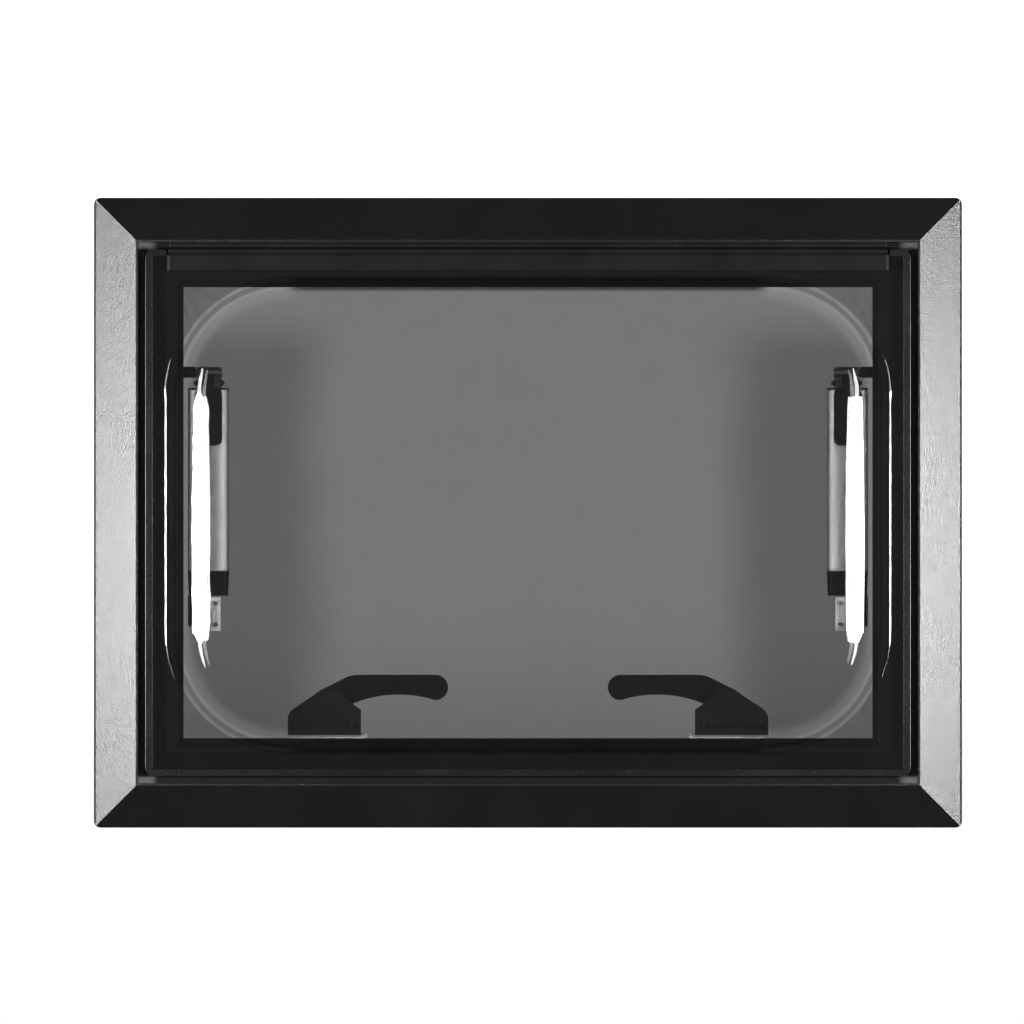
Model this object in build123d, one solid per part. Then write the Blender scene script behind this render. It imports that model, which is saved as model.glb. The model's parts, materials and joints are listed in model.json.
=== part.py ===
from build123d import *
import math
import os

# A top-hung deck hatch: a bevelled frame, a domed double-pane lid on a hinge rail, two telescopic
# stays with clamp knobs and two lever latches. Millimetres. X runs to the right, Z up, and -Y out
# of the boat. The origin is the centre of the cut-out, in the plane of the flange's back face.
# An inset is a distance inward from the frame's outer edge.

# ---- frame ----
overall_width = 700.0
overall_height = 508.0
corner_radius = 5.5
bezel_width = 36.0
bezel_edge_height = 6.0
bezel_edge_bevel = 1.5
bezel_inner_height = 22.0
bezel_inner_flat = 1.6
bezel_wall = 2.2
bezel_back_wall = 4.0
bezel_chamber_start = 8.0
ledge_width = 36.0
ledge_thickness = 3.5
lip_width = 14.0
collar_thickness = 8.0
collar_depth = 30.0
collar_chamber_depth = 12.0
collar_wall = 2.0
screw_channel_width = 4.2
screw_channel_depth = 14.0

# ---- frame seals, corner keys ----
gasket_inset = 10.0
gasket_width = 14.0
gasket_thickness = 1.8
seal_width = 10.0
seal_lip_margin = 4.0
seal_gap = 0.3
key_arm = 42.0
key_clearance = 0.3

# ---- clamp ring ----
wall_thickness = 28.0
ring_outer_inset = 38.0
ring_overhang = 8.0
ring_plate = 3.0
ring_leg = 3.0
ring_screw_radius = 2.0
ring_screw_head_radius = 4.0
ring_screw_head_height = 2.4
ring_screw_length = 14.0
ring_screws_across = 5
ring_screws_up = 3
ring_screw_pitch = 120.0

# ---- lid ----
lid_gap = 5.6
outer_pane_thickness = 3.5
inner_pane_thickness = 3.5
pane_front = -14.0
pane_corner_radius = 6.0
dome_side_inset = 17.4
dome_top_inset = 21.4
dome_bottom_inset = 17.8
dome_corner_radius = 98.0
dome_height = 24.0
dome_slope = 17.0
dome_shoulder_radius = 45.0
dome_root_radius = 4.0
trim_face = 6.0
trim_back_lip = 4.0
trim_wall = 1.5
pane_edge_play = 0.2

# ---- hinge ----
hinge_y = -14.0
hinge_drop = 7.0
hinge_bead_radius = 3.0
hinge_play = 0.08
hook_wall = 1.8
hinge_web = 2.0
hinge_base_plate = 1.4
hinge_rail_end_inset = 17.7
hinge_end_cap = 1.5
frame_rail_inset = 2.0
rail_front_wall = 2.9
rail_face_drop = 9.0
rail_face_height = 14.0
rail_back_wall = 1.9
rail_back_height = 9.5
rail_bridge_drop = 10.5
rail_bridge_height = 3.3
rail_pane_play = 0.1
lid_max_angle = 50.0

# ---- stays, given for the left side ----
stay_inset = 20.0
stay_y = 5.0
rod_pivot_drop = 68.5
stay_length = 199.5
tube_width = 33.0
tube_depth = 14.0
tube_wall = 1.8
tube_top_drop = 14.5
tube_bottom_rise = 39.0
rod_width = 18.0
rod_thickness = 4.0
rod_length = 151.5
rod_eye_radius = 4.5
pivot_radius = 2.5
running_play = 0.05
slide_play = 0.3
guide_length = 14.0
plug_length = 12.0
foot_plug_length = 7.0
pivot_head_radius = 3.8
pivot_head_height = 1.5

housing_width = 22.6
housing_thickness = 2.5
housing_length = 45.0
housing_wrap = 3.0
housing_cap = 1.8
housing_tongue_width = 10.0
housing_tongue_rise = 13.0
housing_back_width = 12.0
housing_back_thickness = 3.7
knob_rise = 6.0
knob_radius = 12.5
knob_lobes = 10
knob_lobe_radius = 2.8
knob_thickness = 12.0
knob_gap = 0.5
stud_radius = 2.5

tube_screw_drop = 80.0
tube_screw_head_radius = 4.6
tube_screw_head_height = 1.4
tube_screw_radius = 2.0

foot_height = 20.0
foot_side_margin = 0.6
foot_depth_margin = 1.5
foot_taper = 1.2
foot_corner = 6.0
foot_block_width = 14.5
foot_block_radius = 6.0
cheek_gap = 0.9
cheek_thickness = 2.0
cheek_above_pin = 18.0
cheek_below_pin = 9.4
cheek_reach = 10.0
cheek_fall = 0.85
cheek_slot_play = 0.6
bracket_flange_width = 9.2
bracket_flange_thickness = 2.0
bracket_screw_radius = 1.6
bracket_screw_head_radius = 2.6
bracket_screw_head_height = 1.4
bracket_screw_bite = 2.5

# ---- stay bracket on the frame ----
mount_foot_thickness = 2.5
mount_foot_height = 28.0
mount_foot_depth = 22.0
mount_foot_start = 2.0
mount_screw_spread = 10.0
mount_screw_y = 8.0
mount_screw_radius = 2.0
mount_screw_head_radius = 3.4
mount_screw_head_height = 2.2
mount_eye_gap = 1.2

# ---- latches, given for the left side ----
latch_inset = 118.0
latch_rise = 24.0
latch_base_reach_out = 33.7
latch_base_reach_in = 25.2
latch_base_drop = 21.3
latch_base_back = 1.4
latch_spindle_radius = 4.0
latch_layer_gap = 0.3
tongue_thickness = 3.0
tongue_length = 34.0
tongue_width = 16.0
tongue_tip_width = 9.0
tongue_tilt = 12.0
lever_thickness = 10.0
lever_hub_radius = 16.5
lever_rise = 27.0
lever_reach = 95.4
lever_tip_radius = 10.2
lever_edge_radius = 2.0
lever_knee = 17.0
lever_knee_radius = 25.0
lever_waist = 48.0
lever_waist_depth = 16.2
latch_screw_radius = 1.8
latch_screw_head_radius = 3.2
latch_screw_head_height = 1.6
keeper_thickness = 1.2
keeper_half_width = 30.0
keeper_leg = 10.0
keeper_ear_width = 4.5
keeper_ear_rise = 4.0
keeper_screw_radius = 1.5
keeper_screw_spread = 24.0

# ---- sizes that follow from the ones above ----
half_width = overall_width / 2
half_height = overall_height / 2
recess_inset = bezel_width
opening_inset = bezel_width + ledge_width
collar_inner_inset = opening_inset - lip_width
collar_outer_inset = collar_inner_inset - collar_thickness
opening_half_width = half_width - opening_inset
opening_half_height = half_height - opening_inset
lid_half_width = half_width - recess_inset - lid_gap
lid_half_height = half_height - recess_inset - lid_gap
pane_split = pane_front + outer_pane_thickness
pane_back = pane_split + inner_pane_thickness
pane_inset = trim_wall + pane_edge_play
recess_wall_z = half_height - recess_inset
dome_half_width = lid_half_width - dome_side_inset
dome_top = lid_half_height - dome_top_inset
dome_bottom = dome_bottom_inset - lid_half_height
hinge_z = recess_wall_z - hinge_drop
hinge_rail_half = lid_half_width - hinge_rail_end_inset
hook_radius = hinge_bead_radius + hinge_play + hook_wall
rail_face_top = recess_wall_z - rail_face_drop
rail_face_bottom = rail_face_top - rail_face_height
rail_bridge_top = recess_wall_z - rail_bridge_drop
rail_bridge_bottom = rail_bridge_top - rail_bridge_height
rail_back_bottom = rail_bridge_top - rail_back_height
stay_x = stay_inset - opening_half_width
rod_pivot_z = opening_half_height - rod_pivot_drop
foot_pivot_z = rod_pivot_z - stay_length
tube_top = rod_pivot_z - tube_top_drop
tube_bottom = foot_pivot_z + tube_bottom_rise
rod_bottom = rod_pivot_z - rod_length
housing_bottom = tube_top - housing_length
housing_tongue_top = tube_top + housing_tongue_rise
knob_z = tube_top + knob_rise
tube_screw_z = tube_top - tube_screw_drop
cheek_top = foot_pivot_z + cheek_above_pin
cheek_bottom = foot_pivot_z - cheek_below_pin
latch_x = latch_inset - opening_half_width
latch_z = latch_rise - opening_half_height
latch_base_left = latch_x - latch_base_reach_out
latch_base_right = latch_x + latch_base_reach_in
latch_base_bottom = latch_z - latch_base_drop
lever_top = latch_z + lever_rise
lever_tip_x = latch_x + lever_reach

parts = {}


# ---- helpers ----
def polygon(*points):
    return make_face(Polyline(*points, close=True))


def along_x(sketch, start, end):
    """A sketch of (y, z) points pulled from x = start to x = end."""
    return extrude(Plane((start, 0, 0), x_dir=(0, 1, 0), z_dir=(1, 0, 0)) * sketch, amount=end - start)


def along_y(sketch, start, end):
    """A sketch of (x, z) points pulled from y = start to y = end."""
    return extrude(Plane((0, end, 0), x_dir=(1, 0, 0), z_dir=(0, -1, 0)) * sketch, amount=end - start)


def along_z(sketch, start, end):
    """A sketch of (x, y) points pulled from z = start to z = end."""
    return extrude(Plane((0, 0, start)) * sketch, amount=end - start)


def block(x, y, z):
    """A box between the low and high of each axis."""
    size = (x[1] - x[0], y[1] - y[0], z[1] - z[0])
    return Pos((x[0] + x[1]) / 2, (y[0] + y[1]) / 2, (z[0] + z[1]) / 2) * Box(*size)


def rod_x(radius, y, z, start, end):
    return along_x(Pos(y, z) * Circle(radius), start, end)


def rod_y(radius, x, z, start, end):
    return along_y(Pos(x, z) * Circle(radius), start, end)


def mirrored(shape):
    return mirror(shape, about=Plane.YZ)


def add_pair(name, left_shape):
    """Both sides of a handed piece, built on the left and mirrored to the right."""
    parts[name + "_left"] = left_shape
    parts[name + "_right"] = mirrored(left_shape)


def both_sides(shapes):
    """One node of separate identical solids, left ones and their mirror images."""
    return Compound(children=[*shapes, *[mirrored(shape) for shape in shapes]])


def frame_rail(section, side):
    """A mitred length of the ring that a section of (inset, y) points makes round the frame."""
    sign = -1 if side in ("bottom", "left") else 1
    corner = half_width - half_height
    if side in ("top", "bottom"):
        points = [(depth, sign * (half_height - inset)) for inset, depth in section]
        bar = along_x(polygon(*points), -half_width, half_width)
        wedge = polygon(
            (-half_width, sign * half_height), (half_width, sign * half_height), (corner, 0), (-corner, 0)
        )
    else:
        points = [(sign * (half_width - inset), depth) for inset, depth in section]
        bar = along_z(polygon(*points), -half_height, half_height)
        wedge = polygon(
            (sign * half_width, half_height), (sign * corner, 0), (sign * half_width, -half_height)
        )
    return bar & along_y(wedge, -overall_height, overall_height)


def frame_ring(section):
    """The same section as one closed ring."""
    rails = [frame_rail(section, side) for side in ("top", "right", "bottom", "left")]
    return rails[0] + rails[1] + rails[2] + rails[3]


# ---- outer flange and the ledge-and-collar profile ----
bevel_slope = (bezel_inner_height - bezel_edge_height - bezel_edge_bevel) / (
    bezel_width - bezel_inner_flat - bezel_edge_bevel
)


def bevel_y(inset):
    """Depth of the bevel's face at an inset."""
    return -bezel_edge_height - bezel_edge_bevel - (inset - bezel_edge_bevel) * bevel_slope


gasket_end = gasket_inset + gasket_width
bezel_section = [
    (0, 0), (0, -bezel_edge_height), (bezel_edge_bevel, bevel_y(bezel_edge_bevel)),
    (bezel_width - bezel_inner_flat, -bezel_inner_height), (bezel_width, -bezel_inner_height),
    (bezel_width, 0), (gasket_end, 0), (gasket_end, -gasket_thickness),
    (gasket_inset, -gasket_thickness), (gasket_inset, 0),
]
chamber_end = bezel_width - bezel_wall
chamber_section = [
    (bezel_chamber_start, -bezel_back_wall),
    (bezel_chamber_start, bevel_y(bezel_chamber_start) + bezel_wall),
    (chamber_end, bevel_y(chamber_end) + bezel_wall),
    (chamber_end, -bezel_back_wall),
]
sill_section = [
    (bezel_width, -ledge_thickness), (opening_inset, -ledge_thickness), (opening_inset, 0),
    (collar_inner_inset, 0), (collar_inner_inset, collar_depth), (collar_outer_inset, collar_depth),
    (collar_outer_inset, 0), (bezel_width, 0),
]
channel_middle = (collar_inner_inset + collar_outer_inset) / 2
channel_low = channel_middle - screw_channel_width / 2
channel_high = channel_middle + screw_channel_width / 2
channel_section = [
    (channel_low, collar_depth), (channel_high, collar_depth),
    (channel_high, collar_depth - screw_channel_depth), (channel_low, collar_depth - screw_channel_depth),
]
collar_chamber_section = [
    (collar_outer_inset + collar_wall, collar_wall),
    (collar_inner_inset - collar_wall, collar_wall),
    (collar_inner_inset - collar_wall, collar_wall + collar_chamber_depth),
    (collar_outer_inset + collar_wall, collar_wall + collar_chamber_depth),
]
rounded_plan = along_y(
    RectangleRounded(overall_width, overall_height, corner_radius), -overall_height, overall_height
)
mount_screw_zs = [rod_pivot_z - mount_screw_spread, rod_pivot_z + mount_screw_spread]
collar_face_x = -(half_width - collar_inner_inset)

for side in ("top", "bottom", "left", "right"):
    bezel = frame_rail(bezel_section, side) - frame_rail(chamber_section, side)
    parts["bezel_rail_" + side] = bezel & rounded_plan
    sill = frame_rail(sill_section, side) - frame_rail(channel_section, side)
    sill -= frame_rail(collar_chamber_section, side)
    if side in ("left", "right"):
        for z in mount_screw_zs:
            hole = rod_x(mount_screw_radius, mount_screw_y, z, collar_face_x - collar_wall, collar_face_x)
            sill -= hole if side == "left" else mirrored(hole)
    parts["sill_rail_" + side] = sill

# Corner keys: an L in each flange chamber, thinner than the chamber by the clearance.
key_section = [
    (bezel_chamber_start + key_clearance, -bezel_back_wall - key_clearance),
    (bezel_chamber_start + key_clearance, bevel_y(bezel_chamber_start) + bezel_wall + key_clearance),
    (chamber_end - key_clearance, bevel_y(chamber_end - key_clearance) + bezel_wall + 2 * key_clearance),
    (chamber_end - key_clearance, -bezel_back_wall - key_clearance),
]
key_ring = frame_ring(key_section)
keys = []
for x_sign in (-1, 1):
    for z_sign in (-1, 1):
        corner = Pos(x_sign * half_width, 0, z_sign * half_height) * Box(
            2 * key_arm, overall_height, 2 * key_arm
        )
        keys.append(key_ring & corner)
parts["corner_keys"] = Compound(children=keys)

parts["hull_gasket"] = frame_ring([
    (gasket_inset, -gasket_thickness), (gasket_end, -gasket_thickness), (gasket_end, 0), (gasket_inset, 0),
])

# Lid seal: a soft D strip on the ledge, just clear of the lid's back face.
seal_end = opening_inset - seal_lip_margin
seal_start = seal_end - seal_width
seal_top = pane_back + seal_gap
seal_base = -ledge_thickness
seal_shoulder = (seal_top + seal_base) / 2
parts["lid_seal"] = frame_ring([
    (seal_start, seal_base), (seal_start, seal_shoulder), (seal_start + seal_width / 4, seal_top),
    (seal_end - seal_width / 4, seal_top), (seal_end, seal_shoulder), (seal_end, seal_base),
])

# ---- clamp ring on the inside of the wall, with its screws ----
ring_inner_inset = collar_inner_inset + ring_overhang
ring_section = [
    (ring_outer_inset, wall_thickness), (ring_outer_inset + ring_leg, wall_thickness),
    (ring_outer_inset + ring_leg, collar_depth), (ring_inner_inset, collar_depth),
    (ring_inner_inset, collar_depth + ring_plate - 1), (ring_inner_inset - 1, collar_depth + ring_plate),
    (ring_outer_inset + 1, collar_depth + ring_plate), (ring_outer_inset, collar_depth + ring_plate - 1),
]
ring_screw_places = []
for step in range(ring_screws_across):
    x = (step - (ring_screws_across - 1) / 2) * ring_screw_pitch
    ring_screw_places += [(x, half_height - channel_middle), (x, channel_middle - half_height)]
for step in range(ring_screws_up):
    z = (step - (ring_screws_up - 1) / 2) * ring_screw_pitch
    ring_screw_places += [(half_width - channel_middle, z), (channel_middle - half_width, z)]
ring_face = collar_depth + ring_plate
ring_screws = []
ring_holes = []
for x, z in ring_screw_places:
    shank = rod_y(ring_screw_radius, x, z, ring_face - ring_screw_length, ring_face)
    head = rod_y(ring_screw_head_radius, x, z, ring_face, ring_face + ring_screw_head_height)
    ring_screws.append(shank + head)
    ring_holes.append(rod_y(ring_screw_radius + 2 * running_play, x, z, collar_depth, ring_face))
for side in ("top", "bottom", "left", "right"):
    rail = frame_rail(ring_section, side)
    for hole in ring_holes:
        rail -= hole
    parts["clamp_ring_" + side] = rail
parts["clamp_ring_screws"] = Compound(children=ring_screws)

# ---- lid panes and edge trim ----
notch_half = hinge_rail_half + pane_edge_play
lid_notch = block(
    (-notch_half, notch_half), (pane_front - dome_height, 0),
    (rail_bridge_bottom - pane_edge_play, overall_height),
)
pane_width = 2 * (lid_half_width - pane_inset)
pane_height = 2 * (lid_half_height - pane_inset)
sheet = RectangleRounded(pane_width, pane_height, pane_corner_radius)
parts["inner_pane"] = along_y(sheet, pane_split, pane_back) - lid_notch


def dome_outline(shrink):
    """The dome's plan outline, drawn in by a distance all round."""
    width = 2 * (dome_half_width - shrink)
    height = dome_top - dome_bottom - 2 * shrink
    middle = (dome_top + dome_bottom) / 2
    return Pos(0, middle) * RectangleRounded(width, height, dome_corner_radius - shrink)


def dome_solid(shrink, base, height, shoulder):
    """A plinth with sloping sides and a rounded shoulder, its foot at y = base."""
    foot = Plane((0, base, 0), x_dir=(1, 0, 0), z_dir=(0, -1, 0)) * dome_outline(shrink)
    crown_plane = Plane((0, base - height, 0), x_dir=(1, 0, 0), z_dir=(0, -1, 0))
    crown = crown_plane * dome_outline(shrink + dome_slope * height / dome_height)
    solid = loft([foot.face(), crown.face()], ruled=True)
    return fillet(solid.faces().sort_by(Axis.Y)[0].edges(), shoulder)


outer_pane = along_y(sheet, pane_front, pane_split) + dome_solid(
    0, pane_front, dome_height, dome_shoulder_radius
)
root_edges = [
    edge for edge in outer_pane.edges()
    if abs(edge.center().Y - pane_front) < 0.01
    and abs(edge.center().X) < dome_half_width + 1
    and dome_bottom - 1 < edge.center().Z < dome_top + 1
    and edge.bounding_box().size.Y < 0.01
]
outer_pane = fillet(root_edges, dome_root_radius)
side_wall = outer_pane_thickness * math.hypot(dome_slope, dome_height) / dome_height
dome_hollow = dome_solid(
    side_wall, pane_split, dome_height, dome_shoulder_radius - outer_pane_thickness
)
parts["outer_pane"] = outer_pane - dome_hollow - lid_notch


def lid_band(outer, inner, front, back):
    """A band that follows the lid's edge between two insets and two depths."""
    radius = pane_corner_radius + pane_inset
    outside = RectangleRounded(2 * (lid_half_width - outer), 2 * (lid_half_height - outer), radius - outer)
    inside = RectangleRounded(2 * (lid_half_width - inner), 2 * (lid_half_height - inner), 1.0)
    return along_y(outside - inside, front, back)


trim = lid_band(0, trim_face, pane_front - trim_wall, pane_back + 1)
sheet_space = along_y(sheet, pane_front, pane_back)
trim = trim - sheet_space
trim -= lid_band(trim_back_lip, trim_face + 1, pane_back, pane_back + 2)
parts["lid_edge_trim"] = trim - block(
    (-hinge_rail_half - pane_edge_play, hinge_rail_half + pane_edge_play),
    (-overall_height, overall_height), (rail_face_bottom, overall_height),
)

# ---- hinge: a bead on a web hung from the frame, and a hook rail that turns on it ----
hinge_axis = Pos(hinge_y, hinge_z)
web_top = recess_wall_z - hinge_base_plate
frame_hinge = hinge_axis * Circle(hinge_bead_radius) + polygon(
    (hinge_y - hinge_web / 2, hinge_z), (hinge_y + hinge_web / 2, hinge_z),
    (hinge_y + hinge_web / 2, web_top), (hinge_y - hinge_web / 2, web_top),
) + polygon(
    (-bezel_inner_height + 1, web_top), (-ledge_thickness - 1, web_top),
    (-ledge_thickness - 1, recess_wall_z), (-bezel_inner_height + 1, recess_wall_z),
)
frame_hinge_half = hinge_rail_half - frame_rail_inset
parts["hinge_frame_rail"] = along_x(frame_hinge, -frame_hinge_half, frame_hinge_half)

rail_front = pane_front - rail_pane_play - rail_front_wall
rail_back = pane_back + rail_pane_play + rail_back_wall
rail_clip = polygon(
    (rail_front, rail_face_bottom), (pane_front - rail_pane_play, rail_face_bottom),
    (pane_front - rail_pane_play, rail_bridge_bottom), (pane_back + rail_pane_play, rail_bridge_bottom),
    (pane_back + rail_pane_play, rail_back_bottom), (rail_back, rail_back_bottom),
    (rail_back, rail_bridge_top), (hinge_y, rail_bridge_top), (hinge_y, rail_face_top),
    (rail_front, rail_face_top),
)
web_angle = math.degrees(math.asin((hinge_web / 2 + 0.3) / hinge_bead_radius))
gap_reach = 3 * hook_radius


def from_up(angle):
    """A point far from the hinge axis, at an angle from straight up toward the outside."""
    turn = math.radians(angle)
    return (hinge_y - gap_reach * math.sin(turn), hinge_z + gap_reach * math.cos(turn))


hook_gap = polygon(
    (hinge_y, hinge_z), from_up(-web_angle), from_up(lid_max_angle / 2), from_up(lid_max_angle + web_angle)
)
lid_hook = (rail_clip + hinge_axis * Circle(hook_radius) - hook_gap
            - hinge_axis * Circle(hinge_bead_radius + hinge_play))
rail_half = hinge_rail_half - hinge_end_cap
parts["hinge_lid_rail"] = along_x(lid_hook, -rail_half, rail_half)
end_cap = polygon(
    (rail_front, rail_face_bottom), (pane_front - rail_pane_play, rail_face_bottom),
    (pane_front - rail_pane_play, rail_bridge_bottom), (rail_back, rail_bridge_bottom),
    (rail_back, rail_bridge_top), (hinge_y - hinge_bead_radius - 1, rail_bridge_top),
    (rail_front, rail_bridge_top),
)
parts["hinge_end_caps"] = both_sides([along_x(end_cap, -hinge_rail_half, -rail_half)])

# ---- stay: rod with a rolled eye, guided in the tube ----
stay_centre = Pos(stay_x, stay_y)
rod_strip = along_z(stay_centre * Rectangle(rod_width, rod_thickness), rod_bottom, rod_pivot_z)
rod_eye = rod_x(rod_eye_radius, stay_y, rod_pivot_z, stay_x - rod_width / 2, stay_x + rod_width / 2)
rod_bore = rod_x(
    pivot_radius + running_play, stay_y, rod_pivot_z, stay_x - rod_width, stay_x + rod_width
)
add_pair("stay_rod", rod_strip + rod_eye - rod_bore)

tube_outline = stay_centre * Ellipse(tube_width / 2, tube_depth / 2)
cavity_width = tube_width - 2 * tube_wall
cavity_depth = tube_depth - 2 * tube_wall
rod_window = stay_centre * Rectangle(rod_width + 2 * slide_play, rod_thickness + 2 * slide_play)


def cavity_outline(play):
    return stay_centre * Ellipse(cavity_width / 2 - play, cavity_depth / 2 - play)


add_pair("stay_rod_guide", along_z(
    cavity_outline(slide_play) - stay_centre * Rectangle(rod_width, rod_thickness),
    rod_bottom, rod_bottom + guide_length,
))
tube = along_z(tube_outline - cavity_outline(0), tube_bottom, tube_top)
tube_front = stay_y - tube_depth / 2
tube -= rod_y(tube_screw_radius, stay_x, tube_screw_z, tube_front - 1, tube_front + tube_wall)
add_pair("stay_tube", tube)
add_pair("stay_tube_screw", rod_y(
    tube_screw_radius - running_play, stay_x, tube_screw_z, tube_front, tube_front + tube_wall - slide_play
) + rod_y(
    tube_screw_head_radius, stay_x, tube_screw_z, tube_front - tube_screw_head_height, tube_front
))

# Clamp housing: plug and cap in the tube's mouth, stem saddled on the front, threaded wall behind the rod.
stem_left = stay_x - housing_width / 2
stem_right = stay_x + housing_width / 2
stem_round = housing_width / 4
stem = Pos(stay_x, (housing_bottom + tube_top + housing_cap) / 2) * RectangleRounded(
    housing_width, tube_top + housing_cap - housing_bottom, stem_round
)
tongue_centre = housing_tongue_top - housing_tongue_width / 2
neck = Pos(stay_x, tongue_centre) * Circle(housing_tongue_width / 2) + polygon(
    (stay_x - housing_tongue_width / 2, tube_top), (stay_x + housing_tongue_width / 2, tube_top),
    (stay_x + housing_tongue_width / 2, tongue_centre), (stay_x - housing_tongue_width / 2, tongue_centre),
)
back_wall_front = stay_y + rod_eye_radius + 2 * slide_play
back_wall = Pos(stay_x, knob_z) * Circle(housing_back_width / 2) + polygon(
    (stay_x - housing_back_width / 2, tube_top), (stay_x + housing_back_width / 2, tube_top),
    (stay_x + housing_back_width / 2, knob_z), (stay_x - housing_back_width / 2, knob_z),
)
back_wall_back = back_wall_front + housing_back_thickness
housing = along_z(tube_outline - rod_window, tube_top, tube_top + housing_cap)
housing += along_z(cavity_outline(running_play) - rod_window, tube_top - plug_length, tube_top)
housing += along_y(stem, tube_front - housing_thickness, tube_front + housing_wrap) - along_z(
    stay_centre * Ellipse(tube_width / 2 + running_play, tube_depth / 2 + running_play),
    housing_bottom - 1, tube_top,
)
housing += along_y(neck, tube_front - housing_thickness, tube_front + running_play)
housing += along_y(back_wall, back_wall_front, back_wall_back)
housing -= rod_y(stud_radius + running_play, stay_x, knob_z, back_wall_front - 1, back_wall_back + 1)
add_pair("stay_clamp_housing", housing)

# Lobed knob on a stud that bears on the rod.
knob_front = back_wall_back + knob_gap
knob_back = knob_front + knob_thickness
lobe_ring = knob_radius - knob_lobe_radius
knob_sketch = Circle(lobe_ring + knob_lobe_radius / 3)
for step in range(knob_lobes):
    turn = 2 * math.pi * (step + 0.5) / knob_lobes
    knob_sketch += Pos(lobe_ring * math.cos(turn), lobe_ring * math.sin(turn)) * Circle(knob_lobe_radius)
knob = along_y(Pos(stay_x, knob_z) * knob_sketch, knob_front, knob_back)
stud_end = knob_front + knob_thickness / 2
knob -= rod_y(stud_radius, stay_x, knob_z, knob_front - 1, stud_end)
knob += rod_y(lobe_ring - knob_lobe_radius, stay_x, knob_z, knob_back, knob_back + 1)
add_pair("stay_knob", knob)
stud_start = stay_y + rod_thickness / 2 + slide_play
add_pair("stay_clamp_stud", rod_y(stud_radius, stay_x, knob_z, stud_start, stud_end))

# Tube foot: a tapered ferrule with an eye block beside the pane bracket's cheek.
foot_bottom = tube_bottom - foot_height
foot_width = tube_width + foot_side_margin
foot_depth = tube_depth + 2 * foot_depth_margin
foot_front = stay_y - foot_depth / 2 + foot_taper
foot_upper = Plane((0, 0, tube_bottom)) * stay_centre * RectangleRounded(foot_width, foot_depth, foot_corner)
foot_lower = Plane((0, 0, foot_bottom)) * stay_centre * RectangleRounded(
    foot_width - 2 * foot_taper, foot_depth - 2 * foot_taper, foot_corner - foot_taper
)
foot = loft([foot_lower.face(), foot_upper.face()], ruled=True)
foot += along_z(cavity_outline(running_play), tube_bottom, tube_bottom + foot_plug_length)
cheek_left = stay_x - cheek_thickness / 2
cheek_right = stay_x + cheek_thickness / 2
eye_right = cheek_left - cheek_gap
eye_left = eye_right - foot_block_width
foot += rod_x(foot_block_radius, stay_y, foot_pivot_z, eye_left, eye_right)
foot += block(
    (eye_left, eye_right), (stay_y - foot_block_radius, stay_y + foot_block_radius),
    (foot_pivot_z, foot_bottom),
)
foot -= rod_x(pivot_radius, stay_y, foot_pivot_z, eye_left + 1, eye_right + 1)
add_pair("stay_foot", foot)
pin_head_start = cheek_right + slide_play
foot_pin = rod_x(pivot_radius, stay_y, foot_pivot_z, eye_left + 1, pin_head_start)
foot_pin += rod_x(
    pivot_head_radius, stay_y, foot_pivot_z, pin_head_start, pin_head_start + pivot_head_height
)
add_pair("stay_foot_pin", foot_pin)

# Pane bracket: an angle whose cheek has an open jaw for the foot pin.
flange_back = pane_back + bracket_flange_thickness
cheek_back = stay_y + cheek_reach
cheek_front = foot_front - cheek_gap
cheek = polygon(
    (pane_back, cheek_top), (cheek_front, cheek_top),
    (cheek_back, cheek_top - cheek_fall * (cheek_back - cheek_front)),
    (cheek_back, cheek_bottom), (pane_back, cheek_bottom),
)
jaw_half = pivot_radius + cheek_slot_play
jaw = Pos(stay_y, foot_pivot_z) * Circle(jaw_half) + polygon(
    *[(stay_y + y, foot_pivot_z + z) for y, z in (
        (jaw_half * math.sqrt(0.5), jaw_half * math.sqrt(0.5)), (2 * cheek_reach, 0.0),
        (2 * cheek_reach, -2 * cheek_reach), (0.0, -2 * cheek_reach),
        (-jaw_half * math.sqrt(0.5), -jaw_half * math.sqrt(0.5)),
    )]
)
bracket = along_x(cheek - jaw, cheek_left, cheek_right)
flange_right = cheek_left + bracket_flange_width + cheek_thickness
bracket += block((cheek_left, flange_right), (pane_back, flange_back), (cheek_bottom, cheek_top))
bracket_screw_x = (cheek_right + flange_right) / 2
bracket_screw_zs = [
    cheek_top - 2 * bracket_screw_head_radius, cheek_bottom + 2 * bracket_screw_head_radius
]
bracket_screws = []
for z in bracket_screw_zs:
    bracket -= rod_y(bracket_screw_radius + running_play, bracket_screw_x, z, pane_back, flange_back)
    bracket_screws.append(
        rod_y(bracket_screw_radius, bracket_screw_x, z, pane_back - bracket_screw_bite, flange_back)
        + rod_y(bracket_screw_head_radius, bracket_screw_x, z, flange_back,
                flange_back + bracket_screw_head_height)
    )
add_pair("pane_bracket", bracket)
parts["pane_bracket_screws"] = both_sides(bracket_screws)

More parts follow.
